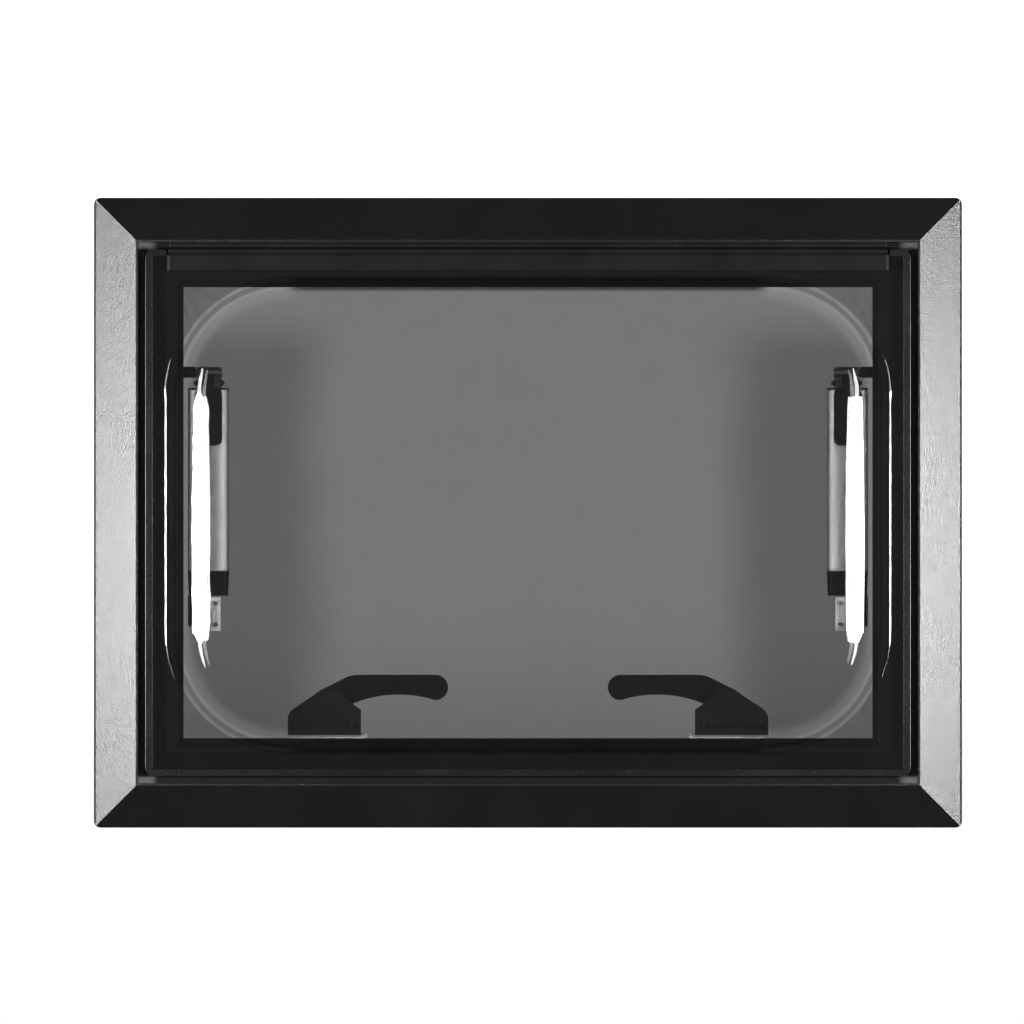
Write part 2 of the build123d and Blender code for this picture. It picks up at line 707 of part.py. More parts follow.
# Stay bracket on the frame: a foot on the collar's inner face and a boss that holds the pivot pin.
mount_foot_right = collar_face_x + mount_foot_thickness
boss_right = stay_x - rod_width / 2 - mount_eye_gap
stay_bracket = block(
    (collar_face_x, mount_foot_right), (mount_foot_start, mount_foot_start + mount_foot_depth),
    (rod_pivot_z - mount_foot_height / 2, rod_pivot_z + mount_foot_height / 2),
)
stay_bracket += rod_x(rod_eye_radius, stay_y, rod_pivot_z, collar_face_x, boss_right)
stay_bracket -= rod_x(pivot_radius, stay_y, rod_pivot_z, collar_face_x + 1, boss_right + 1)
mount_screws = []
for z in mount_screw_zs:
    stay_bracket -= rod_x(
        mount_screw_radius + running_play, mount_screw_y, z, collar_face_x, mount_foot_right
    )
    mount_screws.append(
        rod_x(mount_screw_radius - running_play, mount_screw_y, z,
              collar_face_x - 2 * collar_wall, mount_foot_right)
        + rod_x(mount_screw_head_radius, mount_screw_y, z, mount_foot_right,
                mount_foot_right + mount_screw_head_height)
    )
add_pair("stay_bracket", stay_bracket)
parts["stay_bracket_screws"] = both_sides(mount_screws)
pin_end = stay_x + rod_width / 2 + slide_play
pivot_pin = rod_x(pivot_radius, stay_y, rod_pivot_z, collar_face_x + 1, pin_end)
pivot_pin += rod_x(pivot_head_radius, stay_y, rod_pivot_z, pin_end, pin_end + pivot_head_height)
add_pair("stay_pivot_pin", pivot_pin)

# ---- latch: base on the inner pane, lever with tongue on a spindle, keeper on the frame's lip ----
base_outline = polygon(
    (latch_base_left, latch_base_bottom), (latch_base_left, latch_z - 6),
    (latch_base_left + 3, latch_z - 1), (latch_x - 8, latch_z + 14), (latch_x + 8, latch_z + 16),
    (latch_base_right - 10, latch_z + 6), (latch_base_right, latch_z - 1),
    (latch_base_right, latch_base_bottom),
)
spindle_bore = latch_spindle_radius + running_play
latch_base = along_y(base_outline, pane_back, latch_base_back)
latch_base -= rod_y(spindle_bore, latch_x, latch_z, pane_back + 2, latch_base_back + 1)
latch_screw_places = [
    (latch_base_left + 8, latch_base_bottom + 8), (latch_base_right - 7, latch_base_bottom + 8)
]
latch_screws = []
screw_seat = latch_base_back - latch_screw_head_height
for x, z in latch_screw_places:
    latch_base -= rod_y(latch_screw_radius + running_play, x, z, pane_back, screw_seat)
    latch_base -= rod_y(latch_screw_head_radius + 2 * running_play, x, z, screw_seat, latch_base_back)
    latch_screws.append(
        rod_y(latch_screw_radius, x, z, pane_back - bracket_screw_bite, screw_seat)
        + rod_y(latch_screw_head_radius, x, z, screw_seat, latch_base_back)
    )
add_pair("latch_base", latch_base)
parts["latch_base_screws"] = both_sides(latch_screws)

# Blind holes in the inner pane for the bracket and latch screws.
for x, z in [(bracket_screw_x, z) for z in bracket_screw_zs]:
    hole = rod_y(bracket_screw_radius + running_play, x, z, pane_back - bracket_screw_bite, pane_back)
    parts["inner_pane"] -= hole
    parts["inner_pane"] -= mirrored(hole)
for x, z in latch_screw_places:
    hole = rod_y(latch_screw_radius + running_play, x, z, pane_back - bracket_screw_bite, pane_back)
    parts["inner_pane"] -= hole
    parts["inner_pane"] -= mirrored(hole)

tongue_front = latch_base_back + latch_layer_gap
tongue_back = tongue_front + tongue_thickness
tongue_outline = Circle(tongue_width / 2) + polygon(
    (0, tongue_width / 2), (0, -tongue_width / 2),
    (-tongue_length + tongue_tip_width / 2, -tongue_tip_width / 2),
    (-tongue_length + tongue_tip_width / 2, tongue_tip_width / 2),
) + Pos(-tongue_length + tongue_tip_width / 2, 0) * Circle(tongue_tip_width / 2)
tongue = along_y(Pos(latch_x, latch_z) * Rot(0, 0, tongue_tilt) * tongue_outline, tongue_front, tongue_back)
tongue -= rod_y(latch_spindle_radius, latch_x, latch_z, tongue_front - 1, tongue_back + 1)
add_pair("latch_tongue", tongue)

lever_back = tongue_back + lever_thickness
tip_x = lever_tip_x - lever_tip_radius
tip_z = lever_top - lever_tip_radius
knee_x = latch_x + lever_knee
knee_reach = math.hypot(lever_knee, lever_top - latch_z)
touch_angle = math.atan2(lever_top - latch_z, lever_knee) + math.acos(lever_hub_radius / knee_reach)
touch = (
    latch_x + lever_hub_radius * math.cos(touch_angle), latch_z + lever_hub_radius * math.sin(touch_angle)
)
grip_low = (tip_x, tip_z - lever_tip_radius)
lever_outline = make_face(
    Polyline((latch_x, latch_z), touch, (knee_x, lever_top), (tip_x, lever_top))
    + ThreePointArc((tip_x, lever_top), (lever_tip_x, tip_z), grip_low)
    + ThreePointArc(grip_low, (latch_x + lever_waist, lever_top - lever_waist_depth), (latch_x + 10, latch_z))
    + Line((latch_x + 10, latch_z), (latch_x, latch_z))
)
knee = lever_outline.vertices().sort_by_distance((knee_x, lever_top, 0))[0]
lever_outline = fillet(knee, lever_knee_radius) + Pos(latch_x, latch_z) * Circle(lever_hub_radius)
lever = along_y(lever_outline, tongue_back, lever_back)
lever = fillet(lever.faces().sort_by(Axis.Y)[-1].edges(), lever_edge_radius)
lever -= rod_y(latch_spindle_radius, latch_x, latch_z, tongue_back - 1, lever_back - 3)
add_pair("latch_lever", lever)
add_pair("latch_spindle", rod_y(latch_spindle_radius, latch_x, latch_z, pane_back + 2, lever_back - 3))

# Keeper: a saddle over the bottom lip, with an ear beside the latch base and a wear leg behind the lip.
lip_z = -opening_half_height
keeper_left = latch_x - keeper_half_width
keeper_right = latch_x + keeper_half_width
keeper_back = keeper_thickness
keeper = block(
    (keeper_left, keeper_right), (0, keeper_back), (lip_z - keeper_leg, lip_z + keeper_thickness)
)
keeper += block(
    (keeper_left, keeper_right), (-ledge_thickness, keeper_back), (lip_z, lip_z + keeper_thickness)
)
ear_left = keeper_right - keeper_ear_width
keeper += block(
    (ear_left, keeper_right), (0, keeper_back), (lip_z, lip_z + keeper_ear_rise)
)
keeper_screws = []
keeper_screw_z = lip_z - keeper_leg / 2
for x in (latch_x - keeper_screw_spread, latch_x + keeper_screw_spread):
    for side in ("left", "right"):
        hole = rod_y(keeper_screw_radius + running_play, x, keeper_screw_z, -ledge_thickness + 1, keeper_back)
        if side == "left":
            keeper -= hole
            parts["sill_rail_bottom"] -= hole
        else:
            parts["sill_rail_bottom"] -= mirrored(hole)
    keeper_screws.append(
        rod_y(keeper_screw_radius, x, keeper_screw_z, -ledge_thickness + 1, keeper_back)
    )
add_pair("latch_keeper", keeper)
parts["keeper_screws"] = both_sides(keeper_screws)

# ---- write one file for each node ----
os.makedirs("parts", exist_ok=True)
for name, shape in parts.items():
    export_step(shape, f"parts/{name}.step")
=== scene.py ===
import json
import math

import bmesh
import bpy
from mathutils import Matrix, Vector


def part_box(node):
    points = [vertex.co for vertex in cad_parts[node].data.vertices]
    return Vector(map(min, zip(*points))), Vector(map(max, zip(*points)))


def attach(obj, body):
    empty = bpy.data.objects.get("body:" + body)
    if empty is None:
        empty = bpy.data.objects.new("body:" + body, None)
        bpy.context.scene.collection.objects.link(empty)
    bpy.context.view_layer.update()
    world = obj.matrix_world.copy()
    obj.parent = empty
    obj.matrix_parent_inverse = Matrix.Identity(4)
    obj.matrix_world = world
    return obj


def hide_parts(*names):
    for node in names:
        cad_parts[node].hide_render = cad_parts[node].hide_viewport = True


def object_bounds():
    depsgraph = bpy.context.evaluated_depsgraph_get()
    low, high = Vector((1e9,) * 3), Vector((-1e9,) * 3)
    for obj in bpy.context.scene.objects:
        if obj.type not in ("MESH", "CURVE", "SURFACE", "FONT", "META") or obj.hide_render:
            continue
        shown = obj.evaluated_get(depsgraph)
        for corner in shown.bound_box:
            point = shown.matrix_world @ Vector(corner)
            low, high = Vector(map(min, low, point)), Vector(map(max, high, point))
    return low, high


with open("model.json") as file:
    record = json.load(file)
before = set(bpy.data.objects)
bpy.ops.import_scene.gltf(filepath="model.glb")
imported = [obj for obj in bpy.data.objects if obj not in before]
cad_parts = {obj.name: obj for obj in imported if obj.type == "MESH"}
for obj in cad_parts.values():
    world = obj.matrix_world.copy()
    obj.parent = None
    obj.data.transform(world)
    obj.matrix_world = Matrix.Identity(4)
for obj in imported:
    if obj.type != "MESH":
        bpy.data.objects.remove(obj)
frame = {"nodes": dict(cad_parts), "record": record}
cad_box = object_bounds()


# ---- outer flange ----
# Four mitred lengths of bevelled aluminium extrusion, powder coated black after they are joined.
# The coat is fine and gritty, and rubbed thin in places along the outer lip.
weld_gap = 0.00001
sharp_corner = math.radians(40)
sides = ("top", "bottom", "left", "right")
lip_half_width = cad_box[1][0]
lip_half_height = cad_box[1][2]
rub_width = 0.0022
rub_edge = 0.0004


class Wire:
    """A shader socket whose sums and products are written as plain arithmetic."""

    def __init__(self, tree, socket=None):
        self.tree = tree
        self.socket = socket

    def node(self, kind, settings=None, inputs=None, output=0):
        """Adds a node, sets it up, feeds its sockets and hands back one of its outputs."""
        made = self.tree.nodes.new("ShaderNode" + kind)
        for name, value in (settings or {}).items():
            setattr(made, name, value)
        for name, value in (inputs or {}).items():
            if isinstance(value, Wire):
                self.tree.links.new(value.socket, made.inputs[name])
            else:
                made.inputs[name].default_value = value
        return Wire(self.tree, made.outputs[output]) if made.outputs else None

    def math(self, operation, other=0.0):
        return self.node("Math", {"operation": operation}, {0: self, 1: other})

    def __add__(self, other):
        return self.math("ADD", other)

    __radd__ = __add__

    def __mul__(self, other):
        return self.math("MULTIPLY", other)

    __rmul__ = __mul__

    def __sub__(self, other):
        return self.math("SUBTRACT", other)

    def __rsub__(self, other):
        return self.node("Math", {"operation": "SUBTRACT"}, {0: other, 1: self})

    def step(self, low, high):
        """0 below low, 1 above high, smooth between them."""
        return self.node(
            "MapRange", {"interpolation_type": "SMOOTHSTEP"},
            {"Value": self, "From Min": low, "From Max": high},
        )

    def grain(self, size, stretch=(1, 1, 1), detail=2.0):
        """Noise whose features are about size metres across, drawn out along an axis by stretch."""
        place = self.node("TexCoord", output="Object")
        scaled = self.node(
            "VectorMath", {"operation": "DIVIDE"}, {0: place, 1: [size * factor for factor in stretch]}
        )
        return self.node("TexNoise", None, {"Vector": scaled, "Scale": 1.0, "Detail": detail})

    def place(self, axis):
        """The x, y or z of the point, in metres."""
        return self.node("SeparateXYZ", None, {0: self.node("TexCoord", output="Object")}, axis)

    def tint(self, mask, low, high):
        """A colour that goes from low to high as the mask goes from 0 to 1."""
        return self.node("Mix", {"data_type": "RGBA"}, {0: mask, 6: (*low, 1), 7: (*high, 1)}, 2)


def grey(value):
    return (value, value, value)


def finish(name, build, **constants):
    """A Principled material: build gets its wires and gives what varies, constants are fixed sockets."""
    made = bpy.data.materials.new(name)
    made.use_nodes = True
    shader = made.node_tree.nodes["Principled BSDF"]
    for socket, value in constants.items():
        shader.inputs[socket.replace("_", " ")].default_value = value
    varying = build(Wire(made.node_tree))
    height = varying.pop("height")
    bump_depth = varying.pop("bump_depth")
    bump = height.node("Bump", None, {"Height": height, "Distance": bump_depth, "Strength": 1.0})
    varying["Normal"] = bump
    for socket, wire in varying.items():
        made.node_tree.links.new(wire.socket, shader.inputs[socket])
    return made


def dress(material, *nodes):
    """Gives CAD nodes a finish."""
    for node in nodes:
        mesh = frame["nodes"][node].data
        mesh.materials.clear()
        mesh.materials.append(material)


def ease_edges(width, *nodes, segments=2):
    """Takes the sharpness off a CAD piece's edges, as deburring or a mould's radius does."""
    for node in nodes:
        piece = frame["nodes"][node]
        weld = piece.modifiers.new("weld", "WELD")
        weld.merge_threshold = weld_gap
        flat = piece.modifiers.new("flat", "DECIMATE")
        flat.decimate_type = "DISSOLVE"
        flat.angle_limit = math.radians(0.5)
        eased = piece.modifiers.new("eased", "BEVEL")
        eased.width = width
        eased.segments = segments
        eased.limit_method = "ANGLE"
        eased.angle_limit = sharp_corner
        shaded = piece.modifiers.new("shaded", "WEIGHTED_NORMAL")
        shaded.keep_sharp = True


def powder_coat(wire):
    grit = wire.grain(0.0011, detail=3.0)
    cloud = wire.grain(0.06)
    across = wire.place("X").math("ABSOLUTE")
    upward = wire.place("Z").math("ABSOLUTE")
    side_lip = across.step(lip_half_width - rub_width, lip_half_width - rub_edge)
    end_lip = upward.step(lip_half_height - rub_width, lip_half_height - rub_edge)
    rubbed = side_lip.math("MAXIMUM", end_lip) * wire.grain(0.009).step(0.5, 0.72)
    return {
        "Base Color": wire.tint(rubbed * 0.6 + cloud * 0.3, grey(0.0014), grey(0.008)),
        "Roughness": 0.17 + grit * 0.12 + cloud * 0.03 - rubbed * 0.04,
        "height": grit + 0.25 * wire.grain(0.004),
        "bump_depth": 0.00022,
    }


coat = finish("black_powder_coat", powder_coat, Specular_IOR_Level=0.38)
dress(coat, *["bezel_rail_" + side for side in sides])
ease_edges(0.0016, *["bezel_rail_" + side for side in sides], segments=4)

# ---- corner keys ----
# Cast L-shaped keys driven into the ends of the flange's chambers, which hold the mitres shut.
# They are zinc plated and hidden once the frame is closed.


def zinc_plate(wire):
    spangle = wire.grain(0.006, detail=1.0)
    scratch = wire.grain(0.0007, stretch=(1, 1, 9))
    return {
        "Base Color": wire.tint(spangle, (0.55, 0.56, 0.58), (0.84, 0.85, 0.87)),
        "Roughness": 0.38 + spangle * 0.16 + scratch * 0.06,
        "height": scratch + spangle,
        "bump_depth": 0.00003,
    }


zinc = finish("zinc_plate", zinc_plate, Metallic=0.6)
dress(zinc, "corner_keys")

# ---- ledge and collar ----
# The second ring of extrusion: a ledge that carries the lid seal, and the collar through the wall.
# It is the same coat as the flange, duller where the gun reached less, and lighter down its sides with
# painted light.
opening_half_width = -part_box("sill_rail_left")[1][0]
painted_light_starts = opening_half_width + 0.02
painted_light_full = opening_half_width + 0.03


def inner_coat(wire):
    grit = wire.grain(0.0009, detail=3.0)
    cloud = wire.grain(0.05)
    outward = wire.place("X").math("ABSOLUTE")
    # The sides are painted lighter, which stands for light in the side gutters; the cloud breaks it up.
    dust_and_painted_light = outward.step(painted_light_starts, painted_light_full) * (0.7 + cloud * 0.6)
    return {
        "Base Color": wire.tint(dust_and_painted_light, grey(0.0015), grey(0.09)),
        "Roughness": 0.40 + grit * 0.08 + cloud * 0.08,
        "height": grit,
        "bump_depth": 0.00008,
    }


sill_coat = finish("black_coat_inside", inner_coat, Specular_IOR_Level=0.06)
dress(sill_coat, *["sill_rail_" + side for side in sides])
ease_edges(0.0004, *["sill_rail_" + side for side in sides])

# ---- gasket and lid seal ----
# A flat strip of closed-cell foam in the back of the flange, and a soft rubber strip on the ledge
# that the closed lid presses on. Both are black, dusty and slightly ribbed from the die.


def soft_rubber(wire):
    ribs = wire.grain(0.0006, stretch=(40, 1, 40))
    dust_and_painted_light = wire.grain(0.012).step(0.45, 0.8)
    return {
        "Base Color": wire.tint(dust_and_painted_light, grey(0.0015), grey(0.005)),
        "Roughness": 0.62 + dust_and_painted_light * 0.2,
        "height": ribs + dust_and_painted_light * 0.3,
        "bump_depth": 0.00008,
    }


rubber = finish("soft_rubber", soft_rubber, Specular_IOR_Level=0.15)
dress(rubber, "hull_gasket", "lid_seal")

# ---- clamp ring ----
# The ring behind the wall: four mitred lengths with a turned leg that bites on the inner skin.
# Coated like the frame.
dress(coat, *["clamp_ring_" + side for side in sides])
ease_edges(0.0003, *["clamp_ring_" + side for side in sides])


def stainless_steel(wire):
    turned = wire.grain(0.0004, stretch=(1, 12, 1))
    stain = wire.grain(0.004)
    return {
        "Base Color": wire.tint(stain, (0.55, 0.55, 0.56), (0.74, 0.74, 0.74)),
        "Roughness": 0.20 + stain * 0.14 + turned * 0.05,
        "height": turned,
        "bump_depth": 0.00002,
    }


steel = finish("stainless", stainless_steel, Metallic=1.0)
body_of = {node: body for body, nodes in frame["record"]["behaviour"]["bodies"].items() for node in nodes}
round_steps = 40
sorting_line = Vector((1.0, 3.1, 7.3))


def stand_for(name, mesh, material, node):
    """Makes a finished mesh into the visible piece that stands for a CAD node."""
    data = bpy.data.meshes.new(name)
    bmesh.ops.recalc_face_normals(mesh, faces=mesh.faces)
    mesh.to_mesh(data)
    mesh.free()
    data.materials.append(material)
    piece = bpy.data.objects.new(name, data)
    bpy.context.scene.collection.objects.link(piece)
    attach(piece, body_of[node])
    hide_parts(node)
    return piece


def box_middle(points):
    """The middle of the box round some points."""
    return Vector([
        (min(point[index] for point in points) + max(point[index] for point in points)) / 2
        for index in range(3)
    ])


def separate_solids(node):
    """The points of each solid in a CAD node, one list for each.

    They come in order along one slanted line, so the order doesn't depend on how the node was meshed.
    """
    mesh = bmesh.new()
    mesh.from_mesh(frame["nodes"][node].data)
    bmesh.ops.remove_doubles(mesh, verts=mesh.verts, dist=weld_gap)
    seen = set()
    solids = []
    for first in mesh.verts:
        if first in seen:
            continue
        seen.add(first)
        waiting = [first]
        found = []
        while waiting:
            point = waiting.pop()
            found.append(point.co.copy())
            for edge in point.link_edges:
                other = edge.other_vert(point)
                if other not in seen:
                    seen.add(other)
                    waiting.append(other)
        solids.append(found)
    mesh.free()
    return sorted(solids, key=lambda points: sorting_line.dot(box_middle(points)))


def ring(mesh, radius, height):
    """A circle of points about the local Z axis."""
    turns = [2 * math.pi * step / round_steps for step in range(round_steps)]
    return [mesh.verts.new((radius * math.cos(turn), radius * math.sin(turn), height)) for turn in turns]


def skin(mesh, rings):
    """Smooth faces between each ring and the next."""
    for low, high in zip(rings, rings[1:]):
        for step in range(len(low)):
            after = (step + 1) % len(low)
            mesh.faces.new((low[step], low[after], high[after], high[step])).smooth = True


def loop_edges(mesh, points):
    """The edges that join a closed run of points, made where there are none yet."""
    edges = []
    for step, point in enumerate(points):
        after = points[(step + 1) % len(points)]
        edges.append(mesh.edges.get((point, after)) or mesh.edges.new((point, after)))
    return edges


def cross_screw(mesh, head_radius, head_height, shank_radius, shank_length):
    """A pan-head screw with a cross recess, its seat at the origin and its head up the Z axis."""
    tip = shank_radius * 0.5
    profile = [
        (shank_radius - tip, -shank_length), (shank_radius, tip - shank_length), (shank_radius, 0),
        (head_radius, 0), (head_radius, head_height * 0.35), (head_radius * 0.95, head_height * 0.7),
        (head_radius * 0.84, head_height * 0.92), (head_radius * 0.68, head_height),
    ]
    rings = [ring(mesh, radius, height) for radius, height in profile]
    skin(mesh, rings)
    mesh.faces.new(rings[0])
    arm = head_radius * 0.52
    half = head_radius * 0.13
    quarter = [(arm, -half), (arm, half), (half, half)]
    recess = []
    for turn in range(4):
        spin = Matrix.Rotation(turn * math.pi / 2, 2)
        recess += [spin @ Vector(point) for point in quarter]
    mouth = [mesh.verts.new((point.x, point.y, head_height)) for point in recess]
    floor_scale = 0.55
    floor = [
        mesh.verts.new((point.x * floor_scale, point.y * floor_scale, head_height * 0.25)) for point in recess
    ]
    bmesh.ops.triangle_fill(mesh, edges=loop_edges(mesh, rings[-1]) + loop_edges(mesh, mouth))
    for step in range(len(mouth)):
        after = (step + 1) % len(mouth)
        mesh.faces.new((mouth[step], mouth[after], floor[after], floor[step]))
    mesh.faces.new(floor)


def make_screws(node, axis, material):
    """Screws with driven heads in the places of a CAD node's plain ones; axis is 0 for X, 1 for Y."""
    others = [index for index in range(3) if index != axis]
    whole = bmesh.new()
    for number, points in enumerate(separate_solids(node)):
        middle = box_middle(points)
        reach = [math.hypot(*[point[index] - middle[index] for index in others]) for point in points]
        head_radius = max(reach)
        head = [point[axis] for point, away in zip(points, reach) if away > 0.9 * head_radius]
        along = [point[axis] for point in points]
        upward = max(along) - max(head) < min(head) - min(along)
        far_end = min(along) if upward else max(along)
        shank_radius = max(away for away, value in zip(reach, along) if abs(value - far_end) < 0.0001)
        middle[axis] = min(head) if upward else max(head)
        way = Vector([float(index == axis) for index in range(3)]) * (1 if upward else -1)
        screw = bmesh.new()
        cross_screw(screw, head_radius, max(head) - min(head), shank_radius, abs(far_end - middle[axis]))
        stand = way.to_track_quat("Z", "Y").to_matrix().to_4x4()
        spin = Matrix.Rotation(number * 0.9, 4, "Z")
        screw.transform(Matrix.Translation(middle) @ stand @ spin)
        placed = bpy.data.meshes.new("one")
        screw.to_mesh(placed)
        screw.free()
        whole.from_mesh(placed)
        bpy.data.meshes.remove(placed)
    stand_for(node + "_driven", whole, material, node)


make_screws("clamp_ring_screws", 1, steel)
dress(steel, "clamp_ring_screws")

# ---- hinge ----
# Two full-width black anodised extrusions: a bead hung from the frame, and the lid's hook that turns
# on it. The die leaves faint lines along their length. Moulded caps close the hook's ends.


def black_anodised(wire):
    die_lines = wire.grain(0.0005, stretch=(200, 1, 1))
    cloud = wire.grain(0.03)
    return {
        "Base Color": wire.tint(cloud, grey(0.0015), grey(0.004)),
        "Roughness": 0.24 + die_lines * 0.08 + cloud * 0.04,
        "height": die_lines,
        "bump_depth": 0.00004,
    }


anodised = finish("black_anodised", black_anodised, Specular_IOR_Level=0.12)
dress(anodised, "hinge_frame_rail", "hinge_lid_rail")
ease_edges(0.0005, "hinge_frame_rail", "hinge_lid_rail")


def black_nylon(wire):
    spark = wire.grain(0.0008, detail=3.0)
    cloud = wire.grain(0.02)
    return {
        "Base Color": wire.tint(cloud, grey(0.0015), grey(0.005)),
        "Roughness": 0.34 + spark * 0.10 + cloud * 0.05,
        "height": spark,
        "bump_depth": 0.00006,
    }


nylon = finish("black_nylon", black_nylon, Specular_IOR_Level=0.15)
dress(nylon, "hinge_end_caps")

# ---- panes ----
# Two sheets of smoked acrylic, the outer one vacuum formed into a shallow dome, bonded at the rim.
# The smoke is paler at crown and corners and darker along the straight bends, which stands for the
# stretched sheet and for how the bends turn light. The crown is darker towards its sides below the top,
# which is painted shade. Neither pane casts a shadow.
rim_alpha = 0.50
corner_alpha = 0.10
straight_wall_alpha = 0.80
side_shade_alpha = 0.45
crown_alpha = 0.29
wall_rise = 0.012
bend_rise = 0.007
crown_half_width = 0.182
straight_half_width = 0.19
crown_top = 0.15
outer_sheet = 0.0035
dome_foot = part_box("inner_pane")[0][1] - outer_sheet


def stretched_smoke(wire):
    out = -1 * wire.place("Y")
    across = wire.place("X").math("ABSOLUTE")
    wall = out.step(-dome_foot + 0.001, -dome_foot + 0.004)
    crown = out.step(-dome_foot + wall_rise - 0.002, -dome_foot + wall_rise + 0.004)
    past_bend = out.step(-dome_foot + bend_rise - 0.0015, -dome_foot + bend_rise + 0.0015)
    drift = across + 0.05 * wire.grain(0.16)
    side = drift.step(crown_half_width - 0.015, crown_half_width + 0.045)
    below_top = 1 - wire.place("Z").step(crown_top - 0.03, crown_top + 0.02)
    # The crown's smoke is thicker towards its sides below the top: painted shade.
    top_alpha = crown_alpha + side * below_top * (side_shade_alpha - crown_alpha)
    straight = 1 - across.step(straight_half_width - 0.008, straight_half_width + 0.008)
    straight_alpha = straight_wall_alpha + past_bend * (top_alpha - straight_wall_alpha)
    wall_alpha = corner_alpha + straight * (straight_alpha - corner_alpha)
    thin = rim_alpha + wall * (wall_alpha - rim_alpha)
    return smoked_acrylic(wire) | {"Alpha": thin + crown * (top_alpha - thin)}


def smoked_acrylic(wire):
    flow = wire.grain(0.09)
    smear = wire.grain(0.03, stretch=(1, 1, 2.5)).step(0.5, 0.85)
    return {
        "Base Color": wire.tint(flow, grey(0.001), grey(0.003)),
        "Roughness": 0.02 + smear * 0.03,
        "height": flow,
        "bump_depth": 0.0003,
    }


dome = finish("smoked_acrylic_dome", stretched_smoke, IOR=1.49, Specular_IOR_Level=1.0)
sheet = finish("smoked_acrylic", smoked_acrylic, Alpha=rim_alpha, IOR=1.49, Specular_IOR_Level=0.2)
dress(dome, "outer_pane")
dress(sheet, "inner_pane")
for node in ("outer_pane", "inner_pane"):
    frame["nodes"][node].visible_shadow = False

# ---- lid edge trim ----
# A glossy black channel pressed round the edge of both panes.
# Extruded, so its gloss runs in long waves, with small nicks at the lip.


def gloss_trim(wire):
    wave = wire.grain(0.05)
    nick = wire.grain(0.002).step(0.62, 0.8)
    return {
        "Base Color": wire.tint(wave, grey(0.001), grey(0.003)),
        "Roughness": 0.20 + wave * 0.10 + nick * 0.15,
        "height": wave + nick * 0.02,
        "bump_depth": 0.0003,
    }


trim = finish("gloss_trim", gloss_trim, Specular_IOR_Level=0.3)
dress(trim, "lid_edge_trim")
ease_edges(0.0019, "lid_edge_trim", segments=4)

# ---- stay tubes and rods ----
# A drawn oval aluminium tube slides on a flat stainless rod; a moulded clamp housing sits in the
# tube's mouth and a moulded foot carries the pin that rests in the pane bracket's jaw.


def satin_aluminium(wire):
    drawn = wire.grain(0.0004, stretch=(1, 1, 150))
    cloud = wire.grain(0.02)
    return {
        "Base Color": wire.tint(cloud, grey(0.62), grey(0.74)),
        "Roughness": 0.38 + drawn * 0.14 + cloud * 0.05,
        "height": drawn,
        "bump_depth": 0.00004,
    }


aluminium = finish("satin_aluminium", satin_aluminium, Metallic=0.85)
for side in ("left", "right"):
    dress(aluminium, "stay_tube_" + side)
    ease_edges(0.0002, "stay_tube_" + side)
    dress(steel, "stay_rod_" + side, "stay_foot_pin_" + side, "stay_clamp_stud_" + side)
    dress(nylon, "stay_clamp_housing_" + side, "stay_foot_" + side, "stay_rod_guide_" + side)
    ease_edges(0.0005, "stay_clamp_housing_" + side, "stay_foot_" + side)
    dress(steel, "stay_tube_screw_" + side)
    make_screws("stay_tube_screw_" + side, 1, steel)

# ---- clamp knobs ----
# A ten-lobed nylon knob on each stay, moulded round its stud, with a domed cap pressed in its end.
knob_lobes = 10
knob_steps = 12 * knob_lobes
lobe_depth = 0.0026
knob_profile = [
    (0.00, 0.62), (0.02, 0.84), (0.10, 0.95), (0.22, 1.0), (0.70, 1.0), (0.82, 0.97), (0.90, 0.88),
    (0.925, 0.76), (0.90, 0.60), (0.92, 0.56), (0.97, 0.46), (1.0, 0.24), (1.0, 0.04),
]


def lobed_knob(node):
    """Rings of points along Y; the rim is scalloped and the hub and cap are round."""
    low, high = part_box(node)
    middle = (low + high) / 2
    radius = (high.z - low.z) / 2
    mesh = bmesh.new()
    rings = []
    for along, share in knob_profile:
        points = []
        for step in range(knob_steps):
            turn = 2 * math.pi * step / knob_steps
            scallop = (0.5 + 0.5 * math.cos(knob_lobes * turn)) ** 1.6
            round_share = min(1.0, max(0.0, (share - 0.6) / 0.25))
            reach = radius * share - lobe_depth * scallop * round_share
            points.append(mesh.verts.new((
                middle.x + reach * math.sin(turn), low.y + along * (high.y - low.y),
                middle.z - reach * math.cos(turn),
            )))
        rings.append(points)
    skin(mesh, rings)
    mesh.faces.new(rings[0])
    mesh.faces.new(rings[-1])
    stand_for(node + "_lobed", mesh, nylon, node)


for side in ("left", "right"):
    dress(nylon, "stay_knob_" + side)
    lobed_knob("stay_knob_" + side)

# ---- stay brackets ----
# Nylon brackets screwed to the collar hold the rods' pivot pins; zinc plated angles screwed to the
# inner pane have the open jaws that the foot pins rest in.
for side in ("left", "right"):
    dress(nylon, "stay_bracket_" + side)
    ease_edges(0.0005, "stay_bracket_" + side)
    dress(steel, "stay_pivot_pin_" + side)
    dress(zinc, "pane_bracket_" + side)
    ease_edges(0.0003, "pane_bracket_" + side)
dress(steel, "stay_bracket_screws", "pane_bracket_screws")
make_screws("stay_bracket_screws", 0, steel)
make_screws("pane_bracket_screws", 1, steel)

# ---- latches ----
# A moulded base screwed to the inner pane, a lever and a plated tongue on one spindle, and a pressed
# keeper on the frame's lip. The base's screws are blackened so that they don't show through the pane.


def black_oxide(wire):
    cloud = wire.grain(0.002)
    return {
        "Base Color": wire.tint(cloud, grey(0.004), grey(0.012)),
        "Roughness": 0.35 + cloud * 0.15,
        "height": cloud,
        "bump_depth": 0.00002,
    }


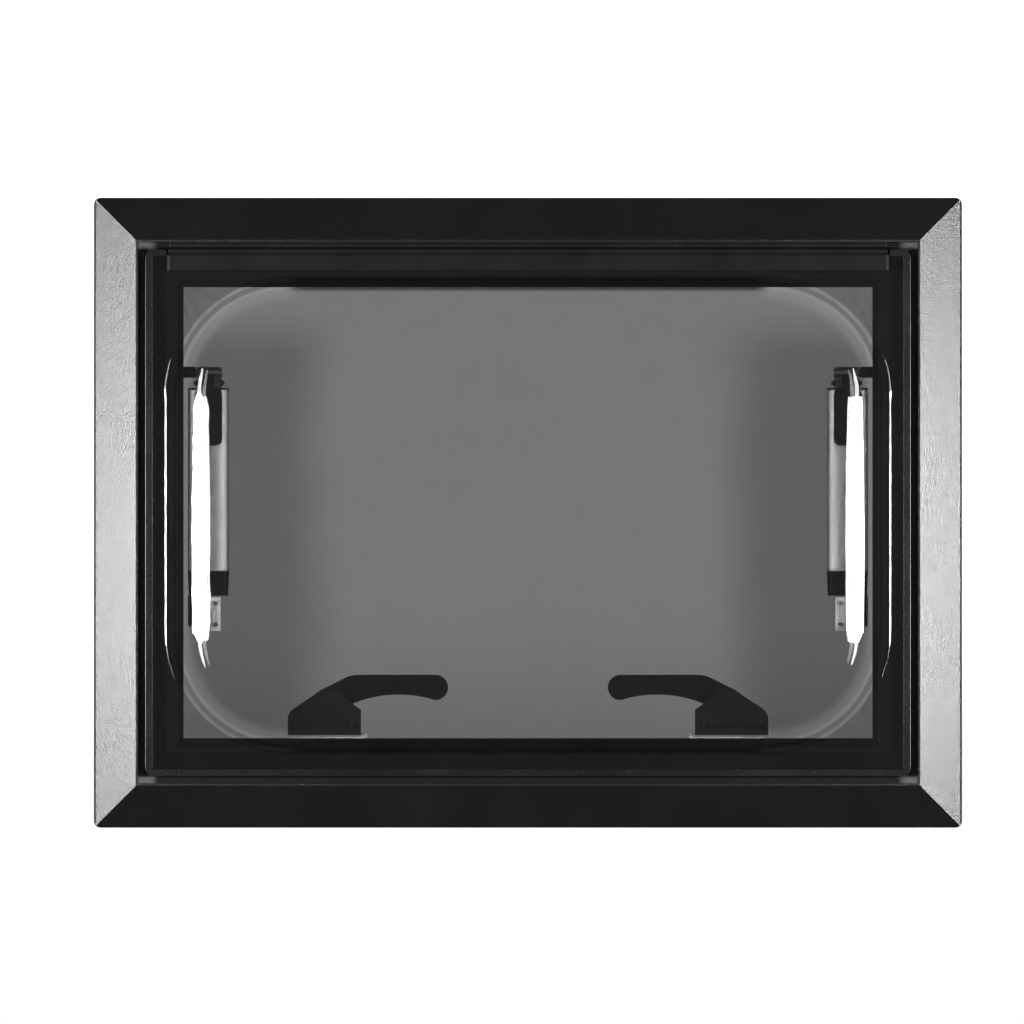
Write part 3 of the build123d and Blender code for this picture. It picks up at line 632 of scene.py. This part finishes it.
oxide = finish("black_oxide", black_oxide, Specular_IOR_Level=0.4)
dress(oxide, "latch_base_screws")
make_screws("latch_base_screws", 1, oxide)
for side in ("left", "right"):
    dress(nylon, "latch_base_" + side, "latch_lever_" + side)
    ease_edges(0.0006, "latch_base_" + side)
    ease_edges(0.0012, "latch_lever_" + side, segments=4)
    dress(zinc, "latch_tongue_" + side, "latch_keeper_" + side)
    ease_edges(0.0003, "latch_tongue_" + side, "latch_keeper_" + side)
    dress(steel, "latch_spindle_" + side)
dress(steel, "keeper_screws")

# ---- studio ----
# A wide oval soft box and a tall narrow one stand to each side of the outer face, and a weaker one
# behind. Seen directly the backdrop is white; what the object reflects of the room is much dimmer.
aim = Vector((0, -0.02, 0))
box_distance = 2.2
front_azimuth = 42
back_azimuth = 180 - front_azimuth


def soft_box(name, azimuth, elevation, width, height, radiance):
    """An oval light aimed at the object; azimuth is from straight ahead of the outer face."""
    lamp = bpy.data.lights.new(name, "AREA")
    lamp.shape = "ELLIPSE"
    lamp.size = width
    lamp.size_y = height
    lamp.energy = radiance * math.pi * math.pi / 4 * width * height
    holder = bpy.data.objects.new(name, lamp)
    turn = math.radians(azimuth)
    rise = math.radians(elevation)
    out = Vector((math.sin(turn) * math.cos(rise), -math.cos(turn) * math.cos(rise), math.sin(rise)))
    holder.location = aim + out * box_distance
    holder.rotation_euler = out.to_track_quat("Z", "Y").to_euler()
    holder.visible_camera = False
    bpy.context.scene.collection.objects.link(holder)


for side, turn in (("left", -1), ("right", 1)):
    soft_box("box_" + side, turn * front_azimuth, -1, 1.15, 0.42, 100.0)
    soft_box("strip_" + side, turn * front_azimuth, -1, 0.30, 1.15, 24.0)
    soft_box("back_box_" + side, turn * back_azimuth, 38, 1.35, 0.9, 14.0)

world = bpy.data.worlds.new("room")
bpy.context.scene.world = world
world.use_nodes = True
room = world.node_tree
room.nodes.clear()
sky = Wire(room)
rise = sky.node("SeparateXYZ", None, {0: sky.node("TexCoord", output="Generated")}, "Z")
glow = 1.0 + 0.35 * rise.step(-0.03, -0.01)
backdrop = sky.node("Background", None, {"Color": (1, 1, 1, 1), "Strength": glow})
behind = sky.node("SeparateXYZ", None, {0: sky.node("TexCoord", output="Generated")}, "Y")
dim = 0.09 + 0.5 * behind.step(0.0, 0.9)
walls = sky.node("Background", None, {"Color": (1, 1, 1, 1), "Strength": dim})
seen = sky.node("LightPath", output="Is Camera Ray")
both = sky.node("MixShader", None, {0: seen, 1: walls, 2: backdrop})
sky.node("OutputWorld", None, {"Surface": both})

# ---- floor and camera ----
# The floor is a pale round sheet well below the frame, which hangs as it would in a cabin side.
# The camera looks square on at the outer face from far off, through a long lens.
floor_drop = 0.68
floor_radius = 1.1
floor_mesh = bmesh.new()
bmesh.ops.create_circle(floor_mesh, cap_ends=True, segments=96, radius=floor_radius)
bmesh.ops.translate(floor_mesh, vec=(0, 0, -floor_drop), verts=floor_mesh.verts)
floor_data = bpy.data.meshes.new("floor")
floor_mesh.to_mesh(floor_data)
floor = bpy.data.objects.new("floor", floor_data)
bpy.context.scene.collection.objects.link(floor)


def pale_paper(wire):
    fibre = wire.grain(0.01)
    return {
        "Base Color": wire.tint(fibre, grey(0.78), grey(0.82)),
        "Roughness": 0.8 + fibre * 0.1,
        "height": fibre,
        "bump_depth": 0.0002,
    }


floor_data.materials.append(finish("pale_paper", pale_paper))
floor.visible_glossy = False
floor.visible_diffuse = False

lens = 300.0
sensor = 36.0
lip_depth = 0.006
view_distance = 6.882
camera_data = bpy.data.cameras.new("camera")
camera_data.lens = lens
camera_data.sensor_width = sensor
camera_data.shift_x = -0.0156
camera_data.shift_y = 0.0007
camera = bpy.data.objects.new("camera", camera_data)
camera.location = (0, -lip_depth - view_distance, 0)
camera.rotation_euler = (math.radians(90), 0, 0)
bpy.context.scene.collection.objects.link(camera)
bpy.context.scene.camera = camera
bpy.context.scene.view_settings.view_transform = "Standard"
